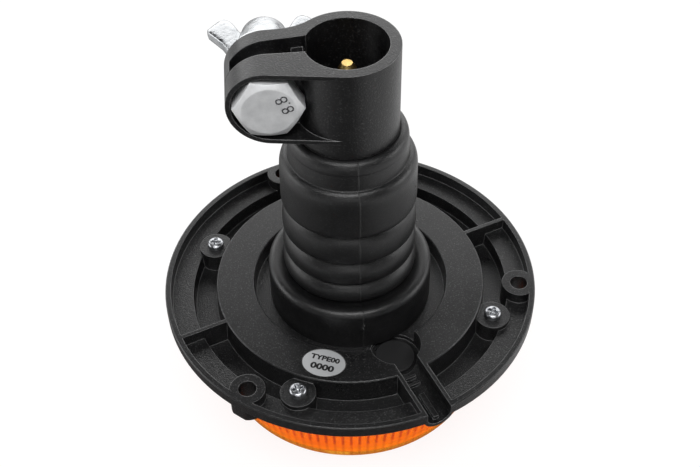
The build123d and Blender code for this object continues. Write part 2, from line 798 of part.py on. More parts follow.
with BuildPart() as pole_socket:
    with BuildSketch(Plane.XY.offset(ear_bottom)) as ear_plan:
        with BuildLine():
            Polyline(
                (0, 0),
                (touch_x, touch_y),
                (-ear_end, touch_y + (ear_end + touch_x) * front_slope),
                (-ear_end, ear_back_tip),
                (0, ear_back_tip + ear_end * back_slope),
                close=True,
            )
        make_face()
        Circle(socket_radius)
        blend_corner = ear_plan.vertices().group_by(Axis.Y)[-1]
        fillet(blend_corner, back_blend)
    extrude(amount=2 * ear_radius)
    with BuildSketch(ear_side(0)):
        with Locations((-bolt_offset, bolt_z)):
            Circle(ear_radius)
        with Locations((-bolt_offset / 2 + socket_radius, bolt_z)):
            Rectangle(bolt_offset + 2 * socket_radius, 2 * ear_radius)
    extrude(amount=2 * socket_radius, both=True, mode=Mode.INTERSECT)
    add(head_pocket.part, mode=Mode.SUBTRACT)
    with BuildSketch(Plane.XY.offset(collar_z)):
        Circle(socket_radius)
    extrude(amount=ear_bottom - collar_z)
    with BuildSketch(ear_side(nut_face)):
        with Locations((-bolt_offset, bolt_z)):
            Circle(washer_seat_radius)
    extrude(amount=-socket_radius, mode=Mode.SUBTRACT)
    with BuildSketch(Plane.XY.offset(neck_bottom)):
        Circle(neck_radius)
    extrude(amount=collar_z - neck_bottom)
    with BuildSketch(Plane.XY.offset(barb_bottom)):
        Circle(barb_radius)
    extrude(amount=barb_height)
    with BuildSketch(Plane.XY.offset(floor_z)):
        Circle(bore_radius)
    extrude(amount=bore_depth, mode=Mode.SUBTRACT)
    with BuildSketch(Plane.XY.offset(slot_bottom)):
        with BuildLine():
            Polyline(
                (-bore_radius / 2, -slot_front),
                (-ear_end, -slot_front),
                (-ear_end, slot_back_tip),
                (-bore_radius / 2, slot_back_tip + (ear_end - bore_radius / 2) * slot_slope),
                close=True,
            )
        make_face()
    extrude(amount=mouth_z - slot_bottom, mode=Mode.SUBTRACT)
    with BuildSketch(ear_side(slot_back_tip + ear_lip / 2)):
        with Locations((-bolt_offset, bolt_z)):
            Circle(ear_radius)
        with Locations((-bolt_offset + ear_lip, bolt_z)):
            Rectangle(2 * ear_radius, 2 * ear_radius, mode=Mode.SUBTRACT)
    extrude(amount=slot_back_tip + ear_lip / 2 + slot_front - ear_lip_gap)
    with BuildSketch(Plane.XY.offset(mouth_z - slot_web_top - slot_web_height)):
        with Locations((-bore_radius - slot_web_thickness / 2, slot_web_shift)):
            Rectangle(slot_web_thickness, slot_web_width)
    extrude(amount=slot_web_height)
    with BuildSketch(ear_side(nut_face)):
        with Locations((-bolt_offset, bolt_z)):
            Circle(bolt_hole_radius)
    extrude(amount=nut_face + socket_radius, mode=Mode.SUBTRACT)
    with BuildSketch(Plane.XY.offset(neck_bottom)):
        Circle(holder_radius + running_clearance)
    extrude(amount=floor_thickness, mode=Mode.SUBTRACT)

# Hexagon-head clamp bolt, its head in the front ear's recess
bolt_start = bolt_face(recess_y)
with BuildPart() as clamp_bolt:
    with BuildSketch(bolt_face(recess_y - hex_height)):
        RegularPolygon(hex_flats / 2, 6, major_radius=False, rotation=hex_turn)
    extrude(amount=hex_height)
    with BuildSketch(bolt_face(recess_y - hex_height)):
        Circle(hex_face_radius)
    extrude(amount=hex_height, taper=hex_chamfer_angle - 90, mode=Mode.INTERSECT)
    with BuildSketch(bolt_start):
        Circle(bolt_radius)
    extrude(amount=bolt_length)
    chamfer(clamp_bolt.edges().sort_by(Axis.Y)[-1], length=bolt_end_chamfer)

with BuildPart() as clamp_washer:
    with BuildSketch(bolt_face(nut_face)):
        Circle(washer_radius)
        Circle(bolt_hole_radius, mode=Mode.SUBTRACT)
    extrude(amount=washer_thickness)

# Wing nut: a tapered hub and two wings that rise past it
hub_taper = math.degrees(math.atan((nut_hub_base_radius - nut_hub_top_radius) / nut_hub_height))
wing_plane = Plane(
    origin=(-bolt_offset, nut_face + washer_thickness, bolt_z),
    x_dir=(1, 0, 0),
    z_dir=(0, 0, 1),
)
with BuildPart() as wing_nut:
    with BuildSketch(bolt_face(nut_face + washer_thickness)):
        Circle(nut_hub_base_radius)
    extrude(amount=nut_hub_height, taper=hub_taper)
    with BuildSketch(wing_plane) as wing_outline:
        for side in (-1, 1):
            with BuildLine():
                Polyline(
                    (side * bolt_radius, wing_root_height),
                    (side * nut_hub_base_radius, wing_root_height),
                    (side * wing_waist, wing_waist_height),
                    (side * wing_reach, wing_rise - wing_corner_drop),
                    (side * (wing_reach - wing_corner), wing_rise),
                    (side * nut_hub_top_radius, nut_hub_height),
                    (side * bolt_radius, nut_hub_height),
                    close=True,
                )
            make_face()
        tips = wing_outline.vertices().filter_by_position(Axis.Y, nut_hub_height + wing_corner_round, wing_rise)
        fillet(tips, wing_corner_round)
    extrude(amount=wing_thickness / 2, both=True)
    with BuildSketch(bolt_face(nut_face)):
        Circle(bolt_radius + running_clearance)
    extrude(amount=2 * nut_hub_height, mode=Mode.SUBTRACT)

# Insulating holder in the socket floor, with the sprung contact pin above its terminal
holder_top = floor_z + holder_above_floor
pin_stop = holder_top - holder_top_wall
flange_top = pin_stop - running_clearance
pin_top = mouth_z - pin_below_mouth
with BuildPart() as contact_holder:
    with BuildSketch(Plane.XZ):
        with BuildLine():
            Polyline(
                (holder_bore_radius, holder_bottom),
                (holder_radius, holder_bottom),
                (holder_radius, floor_z),
                (holder_flange_radius, floor_z),
                (holder_flange_radius, floor_z + holder_flange_height),
                (holder_radius, floor_z + holder_flange_height),
                (holder_radius, holder_top),
                (pin_radius + running_clearance, holder_top),
                (pin_radius + running_clearance, pin_stop),
                (holder_bore_radius, pin_stop),
                close=True,
            )
        make_face()
    revolve(axis=Axis.Z)

with BuildPart() as contact_terminal:
    with BuildSketch(Plane.XY.offset(terminal_bottom)):
        Circle(holder_bore_radius)
    extrude(amount=terminal_thickness)

flange_bottom = flange_top - pin_flange_height
with BuildPart() as contact_pin:
    with BuildSketch(Plane.XZ):
        with BuildLine():
            Polyline(
                (0, flange_bottom),
                (pin_flange_radius, flange_bottom),
                (pin_flange_radius, flange_top),
                (pin_radius, flange_top),
                (pin_radius, pin_top - pin_tip_height),
                (pin_tip_radius, pin_top),
                (0, pin_top),
                close=True,
            )
        make_face()
    revolve(axis=Axis.Z)

spring_radius = pin_flange_radius - 2 * spring_wire_radius
spring_bottom = terminal_top + spring_wire_radius
spring_height = flange_bottom - spring_wire_radius - spring_bottom
with BuildPart() as contact_spring:
    with BuildLine():
        coil = Helix(
            spring_height / spring_turns, spring_height, spring_radius, center=(0, 0, spring_bottom)
        )
    with BuildSketch(Plane(origin=coil @ 0, z_dir=coil % 0)):
        RegularPolygon(spring_wire_radius, 6)
    sweep(path=coil, is_frenet=True)

# Earth strip down the bore wall, bent in over the socket floor
strip_x, strip_y = polar_point(1, ground_angle)
strip_plane = Plane(origin=(0, 0, floor_z), x_dir=(-strip_y, strip_x, 0), z_dir=(0, 0, 1))
strip_face = math.sqrt(bore_radius ** 2 - (ground_strip_width / 2) ** 2) - running_clearance
with BuildPart() as ground_contact:
    with BuildSketch(strip_plane):
        with Locations((0, -strip_face + ground_strip_thickness / 2)):
            Rectangle(ground_strip_width, ground_strip_thickness)
    extrude(amount=ground_strip_height)
    with BuildSketch(strip_plane):
        with Locations((0, -strip_face + ground_foot_length / 2)):
            Rectangle(ground_strip_width, ground_foot_length)
    extrude(amount=ground_strip_thickness)

pieces = {
    "base_housing": base_housing,
    "lens": lens,
    "lens_gasket": lens_gasket,
    "cover_screws": cover_screws,
    "cable_plug": cable_plug,
    "oval_label": oval_label,
    "rubber_stem_lower": rubber_stem_lower,
    "rubber_stem_upper": rubber_stem_upper,
    "stem_insert": stem_insert,
    "stem_retainer": stem_retainer,
    "stem_screws": stem_screws,
    "heat_sink": heat_sink,
    "led_board": led_board,
    "board_screws": board_screws,
    "leds": leds,
    "reflector": reflector,
    "driver_parts": driver_parts,
    "lead_connector": lead_connector,
    "leads_lower": leads_lower,
    "leads_upper": leads_upper,
    "pole_socket": pole_socket,
    "clamp_bolt": clamp_bolt,
    "clamp_washer": clamp_washer,
    "wing_nut": wing_nut,
    "contact_holder": contact_holder,
    "contact_terminal": contact_terminal,
    "contact_pin": contact_pin,
    "contact_spring": contact_spring,
    "ground_contact": ground_contact,
}
for name, piece in pieces.items():
    piece.part.label = name
    export_step(piece.part, f"parts/{name}.step")
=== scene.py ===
import math

import bpy
import numpy as np
from mathutils import Matrix, Vector


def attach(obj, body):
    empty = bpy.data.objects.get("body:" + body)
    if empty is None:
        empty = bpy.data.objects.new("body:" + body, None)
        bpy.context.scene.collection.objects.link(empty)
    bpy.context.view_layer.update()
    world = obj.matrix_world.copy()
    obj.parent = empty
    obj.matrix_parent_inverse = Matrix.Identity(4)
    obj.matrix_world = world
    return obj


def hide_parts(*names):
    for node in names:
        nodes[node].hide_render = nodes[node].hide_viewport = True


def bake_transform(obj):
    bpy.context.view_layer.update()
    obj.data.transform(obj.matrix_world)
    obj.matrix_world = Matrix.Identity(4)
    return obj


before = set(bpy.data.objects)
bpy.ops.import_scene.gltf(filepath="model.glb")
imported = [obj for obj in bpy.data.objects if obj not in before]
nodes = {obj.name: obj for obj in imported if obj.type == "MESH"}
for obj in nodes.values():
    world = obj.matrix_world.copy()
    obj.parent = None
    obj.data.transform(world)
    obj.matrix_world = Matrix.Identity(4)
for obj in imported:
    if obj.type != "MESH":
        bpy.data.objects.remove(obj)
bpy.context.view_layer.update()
scene = bpy.context.scene
MM = 0.001

# Camera: it stands in front of the bolt head and looks down at the light lying on its lens.
# The stage is turned a little against the clamp ears, as the photograph shows them.
STAGE_TURN = math.radians(-4.7)
LOOK_DOWN = 0.799
CAMERA_ROLL = -0.013
CAMERA_DISTANCE = 0.3621
LOOK_AT = Vector((0.0002, 0.0, 0.0628))
SENSOR = 36.0
FOCAL_IN_WIDTHS = 1098.1 / 700

back = Vector((0, -math.cos(LOOK_DOWN), math.sin(LOOK_DOWN)))
right = Vector((1, 0, 0))
up = back.cross(right)
rolled_right = math.cos(CAMERA_ROLL) * right + math.sin(CAMERA_ROLL) * up
rolled_up = -math.sin(CAMERA_ROLL) * right + math.cos(CAMERA_ROLL) * up
camera_matrix = Matrix((rolled_right, rolled_up, back)).transposed().to_4x4()
camera_matrix.translation = LOOK_AT + CAMERA_DISTANCE * back
stage_matrix = Matrix.Rotation(STAGE_TURN, 4, "Z")

camera_data = bpy.data.cameras.new("camera")
camera_data.sensor_width = SENSOR
camera_data.lens = FOCAL_IN_WIDTHS * SENSOR
camera_data.clip_start = 0.01
camera = bpy.data.objects.new("camera", camera_data)
scene.collection.objects.link(camera)
camera.matrix_world = stage_matrix @ camera_matrix
scene.camera = camera

# Lamps: a wide soft wall behind the table that level faces mirror towards the camera, a soft
# box overhead that lights colours evenly, a weak one in front for the upright faces, and one low
# box on either side.
scene.view_settings.view_transform = "Standard"


def soft_box(name, place, aim, size, power):
    """Rectangular area lamp of a size in metres at a place, aimed at a point, in the turned stage."""
    data = bpy.data.lights.new(name, "AREA")
    data.shape = "RECTANGLE"
    data.size, data.size_y = size
    data.energy = power
    lamp = bpy.data.objects.new(name, data)
    scene.collection.objects.link(lamp)
    direction = Vector(aim) - Vector(place)
    aimed = direction.to_track_quat("-Z", "Y").to_matrix().to_4x4()
    aimed.translation = Vector(place)
    lamp.matrix_world = stage_matrix @ aimed


soft_box("back_wall", (0, 1.05, 0.55), (0, 0, 0.1), (2.4, 0.8), 16.0)
soft_box("overhead", (0, -0.5, 1.1), (0, 0, 0.06), (0.7, 0.45), 8.5)
soft_box("front", (0, -1.15, 0.45), (0, 0, 0.08), (1.0, 0.4), 2.2)
soft_box("left_side", (-1.1, 0.1, 0.35), (0, 0, 0.07), (0.9, 0.5), 4.8)
soft_box("right_side", (1.1, 0.1, 0.35), (0, 0, 0.07), (0.9, 0.5), 4.8)


def link(tree, output, socket):
    """One wire between two nodes."""
    tree.links.new(output, socket)


def calculated(tree, operation, first, second):
    """Result of one sum on two wires or numbers."""
    node = tree.nodes.new("ShaderNodeMath")
    node.operation = operation
    for socket, value in zip(node.inputs, (first, second)):
        if isinstance(value, (int, float)):
            socket.default_value = value
        else:
            link(tree, value, socket)
    return node.outputs[0]


# Room: white where the camera looks or where it sees through clear plastic, and dim as a light,
# so that black parts stay black.
ROOM_LIGHT = 0.02
world = bpy.data.worlds.new("studio")
scene.world = world
world.use_nodes = True
room_tree = world.node_tree
room_tree.nodes.clear()
room = room_tree.nodes.new("ShaderNodeBackground")
room_path = room_tree.nodes.new("ShaderNodeLightPath")
room_seen = calculated(room_tree, "MAXIMUM", room_path.outputs["Is Camera Ray"],
                       room_path.outputs["Is Transmission Ray"])
room_extra = calculated(room_tree, "MULTIPLY", room_seen, 1 - ROOM_LIGHT)
room_level = calculated(room_tree, "ADD", room_extra, ROOM_LIGHT)
room.inputs["Color"].default_value = (1, 1, 1, 1)
link(room_tree, room_level, room.inputs["Strength"])
link(room_tree, room.outputs[0], room_tree.nodes.new("ShaderNodeOutputWorld").inputs["Surface"])

# Floor: a plain pale table top that keeps the light's soft shadow. The camera and the clear
# lens also see a glow on it, which makes it white. Glossy faces see a glow only to the left and
# right of the light, which gives the upright faces their bright edges.


def ranged(tree, value, from_low, from_high, to_low=0.0, to_high=1.0):
    """Value stretched from one range to another and kept inside it."""
    node = tree.nodes.new("ShaderNodeMapRange")
    for label, number in (("From Min", from_low), ("From Max", from_high),
                          ("To Min", to_low), ("To Max", to_high)):
        if isinstance(number, (int, float)):
            node.inputs[label].default_value = number
        else:
            link(tree, number, node.inputs[label])
    link(tree, value, node.inputs["Value"])
    return node.outputs["Result"]


def object_place(tree):
    """Place of a point in the object's own metres."""
    return tree.nodes.new("ShaderNodeTexCoord").outputs["Object"]


FLOOR_HALF = 1.5
FLOOR_TONE = (0.16, 0.16, 0.16)
FLOOR_GLOW = 0.87
MIRRORED_GLOW = 0.68
GLOW_MIDDLE = -0.035
GLOW_FROM, GLOW_TO = 0.065, 0.145
floor_mesh = bpy.data.meshes.new("floor")
floor_mesh.from_pydata(
    [(-FLOOR_HALF, -FLOOR_HALF, 0), (FLOOR_HALF, -FLOOR_HALF, 0),
     (FLOOR_HALF, FLOOR_HALF, 0), (-FLOOR_HALF, FLOOR_HALF, 0)], [], [(0, 1, 2, 3)])
floor = bpy.data.objects.new("floor", floor_mesh)
scene.collection.objects.link(floor)
floor_paint = bpy.data.materials.new("pale table")
floor_paint.use_nodes = True
floor_tree = floor_paint.node_tree
floor_tree.nodes.clear()
matt = floor_tree.nodes.new("ShaderNodeBsdfDiffuse")
matt.inputs["Color"].default_value = (*FLOOR_TONE, 1)
floor_path = floor_tree.nodes.new("ShaderNodeLightPath")
floor_seen = calculated(floor_tree, "MAXIMUM", floor_path.outputs["Is Camera Ray"],
                        floor_path.outputs["Is Transmission Ray"])
floor_shown = calculated(floor_tree, "MULTIPLY", floor_seen, FLOOR_GLOW)
floor_spot = floor_tree.nodes.new("ShaderNodeSeparateXYZ")
link(floor_tree, object_place(floor_tree), floor_spot.inputs[0])
floor_across = calculated(floor_tree, "SUBTRACT", floor_spot.outputs["X"], GLOW_MIDDLE)
floor_aside = calculated(floor_tree, "ABSOLUTE", floor_across, 0)
floor_side = ranged(floor_tree, floor_aside, GLOW_FROM, GLOW_TO, 0.0, MIRRORED_GLOW)
floor_mirrored = calculated(floor_tree, "MULTIPLY", floor_path.outputs["Is Glossy Ray"], floor_side)
floor_level = calculated(floor_tree, "MAXIMUM", floor_mirrored, floor_shown)
glow = floor_tree.nodes.new("ShaderNodeEmission")
link(floor_tree, floor_level, glow.inputs["Strength"])
both = floor_tree.nodes.new("ShaderNodeAddShader")
link(floor_tree, matt.outputs[0], both.inputs[0])
link(floor_tree, glow.outputs[0], both.inputs[1])
link(floor_tree, both.outputs[0], floor_tree.nodes.new("ShaderNodeOutputMaterial").inputs["Surface"])
floor_mesh.materials.append(floor_paint)

# Base housing: moulded in one from black plastic. Its top faces are satin, the floors between
# them are coarser, its edges are a little rounded by the mould, and dust lies on it.


def new_group(name, inputs, outputs):
    """Empty shader group with named value inputs and named outputs."""
    group = bpy.data.node_groups.new(name, "ShaderNodeTree")
    sockets = group.interface
    for label, value in inputs.items():
        socket = sockets.new_socket(name=label, in_out="INPUT", socket_type="NodeSocketFloat")
        socket.default_value = value
    for label, kind in outputs.items():
        sockets.new_socket(name=label, in_out="OUTPUT", socket_type="NodeSocket" + kind)
    return group, group.nodes.new("NodeGroupInput"), group.nodes.new("NodeGroupOutput")


def noise(tree, scale, detail, vector, roughness=0.5):
    """Noise on a vector, with its scale per metre as a number or a wire."""
    node = tree.nodes.new("ShaderNodeTexNoise")
    node.inputs["Detail"].default_value = detail
    node.inputs["Roughness"].default_value = roughness
    if isinstance(scale, (int, float)):
        node.inputs["Scale"].default_value = scale
    else:
        link(tree, scale, node.inputs["Scale"])
    link(tree, vector, node.inputs["Vector"])
    return node.outputs["Fac"]


# Grain: fine bumps, and a broad cloud that shifts gloss and tone over centimetres
grain_group, grain_in, grain_out = new_group(
    "grain", {"Fine": 3500.0, "Broad": 55.0}, {"Height": "Float", "Cloud": "Float"})
grain_place = object_place(grain_group)
fine_noise = noise(grain_group, grain_in.outputs["Fine"], 3, grain_place, 0.6)
link(grain_group, fine_noise, grain_out.inputs["Height"])
broad_noise = noise(grain_group, grain_in.outputs["Broad"], 5, grain_place, 0.6)
link(grain_group, ranged(grain_group, broad_noise, 0.3, 0.7), grain_out.inputs["Cloud"])

# Dust: sparse pale specks of uneven size that gather in patches
dust_group, dust_in, dust_out = new_group("dust", {"Scale": 420.0, "Amount": 0.35}, {"Mask": "Float"})
dust_place = object_place(dust_group)
specks = dust_group.nodes.new("ShaderNodeTexVoronoi")
link(dust_group, dust_in.outputs["Scale"], specks.inputs["Scale"])
link(dust_group, dust_place, specks.inputs["Vector"])
speck_size = ranged(dust_group, specks.outputs["Color"], 0.6, 1.0, 0.0, 0.14)
speck = ranged(dust_group, specks.outputs["Distance"], 0.0, speck_size, 1.0, 0.0)
patches = ranged(dust_group, noise(dust_group, 40, 3, dust_place), 0.45, 0.7)
dusty = calculated(dust_group, "MULTIPLY", speck, patches)
dust_mask = calculated(dust_group, "MULTIPLY", dusty, dust_in.outputs["Amount"])
link(dust_group, dust_mask, dust_out.inputs["Mask"])

# Rounded edges: the corner's rounding as a normal, and a mask of where it turns
edge_group, edge_in, edge_out = new_group(
    "rounded edges", {"Radius": 0.0003}, {"Normal": "Vector", "Edge": "Float"})
rounding = edge_group.nodes.new("ShaderNodeBevel")
rounding.samples = 6
link(edge_group, edge_in.outputs["Radius"], rounding.inputs["Radius"])
flat_normal = edge_group.nodes.new("ShaderNodeNewGeometry").outputs["Normal"]
facing = edge_group.nodes.new("ShaderNodeVectorMath")
facing.operation = "DOT_PRODUCT"
link(edge_group, rounding.outputs["Normal"], facing.inputs[0])
link(edge_group, flat_normal, facing.inputs[1])
link(edge_group, ranged(edge_group, facing.outputs["Value"], 0.995, 0.75), edge_out.inputs["Edge"])
link(edge_group, rounding.outputs["Normal"], edge_out.inputs["Normal"])


def placed(tree, group, **values):
    """Group node in a material, with its inputs set to constants."""
    node = tree.nodes.new("ShaderNodeGroup")
    node.node_tree = group
    for label, value in values.items():
        node.inputs[label].default_value = value
    return node


def mixed(tree, mask, first, second):
    """Colour that goes from the first to the second with a mask; either is a colour or a wire."""
    node = tree.nodes.new("ShaderNodeMix")
    node.data_type = "RGBA"
    link(tree, mask, node.inputs[0])
    for socket, colour in ((node.inputs[6], first), (node.inputs[7], second)):
        if isinstance(colour, tuple):
            socket.default_value = (*colour, 1)
        else:
            link(tree, colour, socket)
    return node.outputs[2]


DUST_COLOUR = (0.35, 0.34, 0.33)
SPECKLE_COLOUR = (0.16, 0.16, 0.16)


def finish(name, dark, pale, gloss, grain=3500.0, bump=0.00002, broad=55.0, edge=0.0003,
           edge_wear_and_highlight=None, dust=0.0, dust_scale=420.0, speckle=0.0, **constants):
    """Material whose colour and roughness drift between two values with the broad cloud. Fine
    grain makes bumps, and pale speckle on its peaks. Edges are rounded and may be paler: wear on
    metal, a painted highlight on black plastic and rubber. Dust lies on top. Constants go to the
    shader's own sockets."""
    material = bpy.data.materials.new(name)
    material.use_nodes = True
    tree = material.node_tree
    shader = tree.nodes["Principled BSDF"]
    for label, value in constants.items():
        shader.inputs[label.replace("_", " ")].default_value = value
    texture = placed(tree, grain_group, Fine=grain, Broad=broad)
    colour = mixed(tree, texture.outputs["Cloud"], dark, pale)
    edges = placed(tree, edge_group, Radius=edge)
    if edge_wear_and_highlight:
        colour = mixed(tree, edges.outputs["Edge"], colour, edge_wear_and_highlight)
    if speckle:
        peaks = ranged(tree, texture.outputs["Height"], 0.56, 0.72, 0.0, speckle)
        colour = mixed(tree, peaks, colour, SPECKLE_COLOUR)
    if dust:
        dust_specks = placed(tree, dust_group, Scale=dust_scale, Amount=dust).outputs["Mask"]
        colour = mixed(tree, dust_specks, colour, DUST_COLOUR)
    link(tree, colour, shader.inputs["Base Color"])
    link(tree, ranged(tree, texture.outputs["Cloud"], 0, 1, *gloss), shader.inputs["Roughness"])
    bumps = tree.nodes.new("ShaderNodeBump")
    bumps.inputs["Distance"].default_value = bump
    link(tree, texture.outputs["Height"], bumps.inputs["Height"])
    link(tree, edges.outputs["Normal"], bumps.inputs["Normal"])
    link(tree, bumps.outputs["Normal"], shader.inputs["Normal"])
    return material


def shade_smooth(mesh):
    """Marks every face of a mesh smooth."""
    mesh.polygons.foreach_set("use_smooth", np.ones(len(mesh.polygons), bool))


def split_edges(piece, angle=35):
    """Shades a piece smooth but keeps edges sharper than an angle."""
    piece.modifiers.new("sharp edges", "EDGE_SPLIT").split_angle = math.radians(angle)


def dress(material, *names, angle=28):
    """Gives CAD nodes a material in place of their plain one and smooths them up to an angle."""
    for name in names:
        piece = nodes[name]
        piece.data.materials.clear()
        piece.data.materials.append(material)
        piece.modifiers.new("joined", "WELD").merge_threshold = 1e-6
        split_edges(piece, angle)
        piece.modifiers.new("even faces", "WEIGHTED_NORMAL").keep_sharp = True
        shade_smooth(piece.data)


BLACK, WORN_BLACK = (0.004, 0.004, 0.0044), (0.008, 0.008, 0.0084)
TOP_FACES = 0.0420
TOP_GRAIN = 0.25
# Its pale edge tone is a painted highlight along the rounded edges.
housing_plastic = finish("black housing plastic", BLACK, WORN_BLACK, (0.27, 0.36), grain=2300.0,
                         bump=0.00016, edge=0.0004, edge_wear_and_highlight=(0.18, 0.18, 0.182), dust=0.6,
                         speckle=0.5)
house_tree = housing_plastic.node_tree
house_height = house_tree.nodes.new("ShaderNodeSeparateXYZ")
link(house_tree, object_place(house_tree), house_height.inputs[0])
sunk = ranged(house_tree, house_height.outputs["Z"], TOP_FACES, TOP_FACES + 0.0003, 1.0, TOP_GRAIN)
link(house_tree, sunk, house_tree.nodes["Bump"].inputs["Strength"])
dress(housing_plastic, "base_housing")

# Blanking plug and lens gasket: soft black rubber mouldings. The plug is pressed into the cable
# pocket's floor, and the gasket lies between the lens and the housing.
plug_rubber = finish("plug rubber", (0.007, 0.007, 0.0075), (0.012, 0.012, 0.013), (0.55, 0.65),
                     bump=0.00005, dust=0.5)
dress(plug_rubber, "cable_plug", "lens_gasket")

# Lens screws: zinc plated pan heads with a cross recess, threaded below. The recess is worn
# by the driver, and the plating is a little uneven.


def grid_mesh(name, points, close_rows=False, cap_start=False, cap_end=False):
    """Mesh from a grid of points, rows by columns by 3. Quads join neighbours, and the last column
    to the first. Closed rows join the last to the first; a cap closes an end row with one face."""
    rows, columns = points.shape[:2]
    index = np.arange(rows * columns).reshape(rows, columns)
    below = index if close_rows else index[:-1]
    above = np.roll(index, -1, 0) if close_rows else index[1:]
    quads = np.stack([below, np.roll(below, -1, 1), np.roll(above, -1, 1), above], -1)
    faces = quads.reshape(-1, 4).tolist()
    if cap_start:
        faces.append(index[0][::-1].tolist())
    if cap_end:
        faces.append(index[-1].tolist())
    mesh = bpy.data.meshes.new(name)
    mesh.from_pydata(points.reshape(-1, 3).tolist(), [], faces)
    shade_smooth(mesh)
    mesh.update()
    return mesh


def joined(name, meshes):
    """One mesh from several; the ones put in are removed."""
    points, faces, first = [], [], 0
    for mesh in meshes:
        flat = np.empty(len(mesh.vertices) * 3)
        mesh.vertices.foreach_get("co", flat)
        points.append(flat.reshape(-1, 3))
        faces += [[first + corner for corner in face.vertices] for face in mesh.polygons]
        first += len(mesh.vertices)
        bpy.data.meshes.remove(mesh)
    whole = bpy.data.meshes.new(name)
    whole.from_pydata(np.concatenate(points).tolist(), [], faces)
    shade_smooth(whole)
    whole.update()
    return whole


def new_piece(name, mesh, material, body=None):
    """Object of a mesh at the origin with its material and slot, riding on a body."""
    piece = bpy.data.objects.new(name, mesh)
    scene.collection.objects.link(piece)
    mesh.materials.append(material)
    if body:
        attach(piece, body)
    return piece


def threaded(radius, depth, pitch, heights, angles):
    """Screw thread: at each height the radius drops by a triangle wave of height over pitch less
    the turn round the axis, so that crests climb one pitch a turn."""
    turn = angles[None, :] / (2 * math.pi)
    phase = (heights[:, None] / pitch - turn) % 1.0
    reach = radius - depth * np.abs(2 * phase - 1)
    level = heights[:, None] + 0 * turn
    return np.stack([reach * np.cos(angles), reach * np.sin(angles), level], -1)


def smooth_step(value, low, high):
    """Curve that rises from 0 to 1 between two values with level ends."""
    part = np.clip((value - low) / (high - low), 0, 1)
    return part * part * (3 - 2 * part)


SCREW_CIRCLE = 50.3
SCREW_ANGLES = (-114.2, -24.2, 65.8, 155.8)
SCREW_TURNS = (12, -31, 50, -8)
SCREW_SEAT = 40.3
SCREW_HEAD_RADIUS = 2.8
SCREW_HEAD_HEIGHT = 2.1
SCREW_LENGTH = 15.0
SCREW_RADIUS, SCREW_THREAD, SCREW_PITCH = 1.75, 0.3, 1.2
HEAD_FALL = 0.30
RECESS_ARM = 0.40
RECESS_REACH = 1.9
RECESS_DEPTH = 1.6
RECESS_EDGE, RECESS_END = 0.22, 0.35
RECESS_RISE = 0.45
head_angles = np.linspace(0, 2 * math.pi, 96, endpoint=False)


def pan_head(turn):
    """Pan head: the top falls with the fourth power of the radius; a cross of two rounded arms,
    deepest in the middle, is sunk into it; the side rounds down to the seat."""
    rim = [2.4, 2.55, 2.66, 2.74, 2.79, 2.8, 2.8, 2.76]
    radii = np.concatenate([np.linspace(0.05, 2.2, 30), rim])
    top = SCREW_HEAD_HEIGHT * (1 - HEAD_FALL * (radii / SCREW_HEAD_RADIUS) ** 4)
    top[-8:] = SCREW_HEAD_HEIGHT * np.array([0.82, 0.76, 0.69, 0.60, 0.48, 0.35, 0.04, 0.0])
    across = radii[:, None] * np.cos(head_angles - turn)
    along = radii[:, None] * np.sin(head_angles - turn)
    sink = np.zeros_like(across)
    for u, v in ((across, along), (along, across)):
        inside_arm = 1 - smooth_step(np.abs(u), RECESS_ARM, RECESS_ARM + RECESS_EDGE)
        inside_end = 1 - smooth_step(np.abs(v), RECESS_REACH - RECESS_END, RECESS_REACH)
        floor_rise = RECESS_RISE * np.clip(np.abs(v) / RECESS_REACH, 0, 1)
        sink = np.maximum(sink, inside_arm * inside_end * (1 - floor_rise))
    height = SCREW_SEAT + top[:, None] - RECESS_DEPTH * sink
    wide, deep = radii[:, None] * np.cos(head_angles), radii[:, None] * np.sin(head_angles)
    return np.stack([wide, deep, height], -1)


def zinc_finish(name, dark, pale, gloss, **more):
    """Zinc plate: metal with fine brushing, blotchy tone and bright worn edges."""
    return finish(name, dark, pale, gloss, grain=1500.0, bump=0.00004, broad=320.0, edge=0.0003,
                  edge_wear_and_highlight=(0.82, 0.83, 0.84), **{"Metallic": 1.0, **more})


screw_zinc = zinc_finish("screw zinc", (0.34, 0.35, 0.37), (0.52, 0.53, 0.55), (0.26, 0.38), dust=0.6,
                         dust_scale=900.0)
shank_heights = np.linspace(SCREW_SEAT, SCREW_SEAT - SCREW_LENGTH, 90)
screw_meshes = []
for angle, turn in zip(SCREW_ANGLES, SCREW_TURNS):
    shank = threaded(SCREW_RADIUS, SCREW_THREAD, SCREW_PITCH, shank_heights, head_angles)
    whole = np.concatenate([pan_head(math.radians(turn)), shank])
    whole[..., 0] += SCREW_CIRCLE * math.cos(math.radians(angle))
    whole[..., 1] += SCREW_CIRCLE * math.sin(math.radians(angle))
    screw_meshes.append(grid_mesh("screw", whole[::-1] * MM, cap_start=True, cap_end=True))
lens_screws = new_piece("lens_screws", joined("lens_screws", screw_meshes), screw_zinc,
                        "base")
split_edges(lens_screws, 50)
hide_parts("cover_screws")

# Rubber stem: one black moulding, stiff at the foot and ringed so that it bends. It is drawn as
# two surfaces that meet in a groove. A mould seam runs up it.
RIM_TOP = 42.5
SEAM_ANGLE = math.radians(-86)
SEAM_WIDTH = 0.15
SEAM_HEIGHT = 0.22
GATE_RISE, GATE_WIDTH, GATE_TALL = 0.8, 0.4, 1.5
GATE_HEIGHT = 4.5
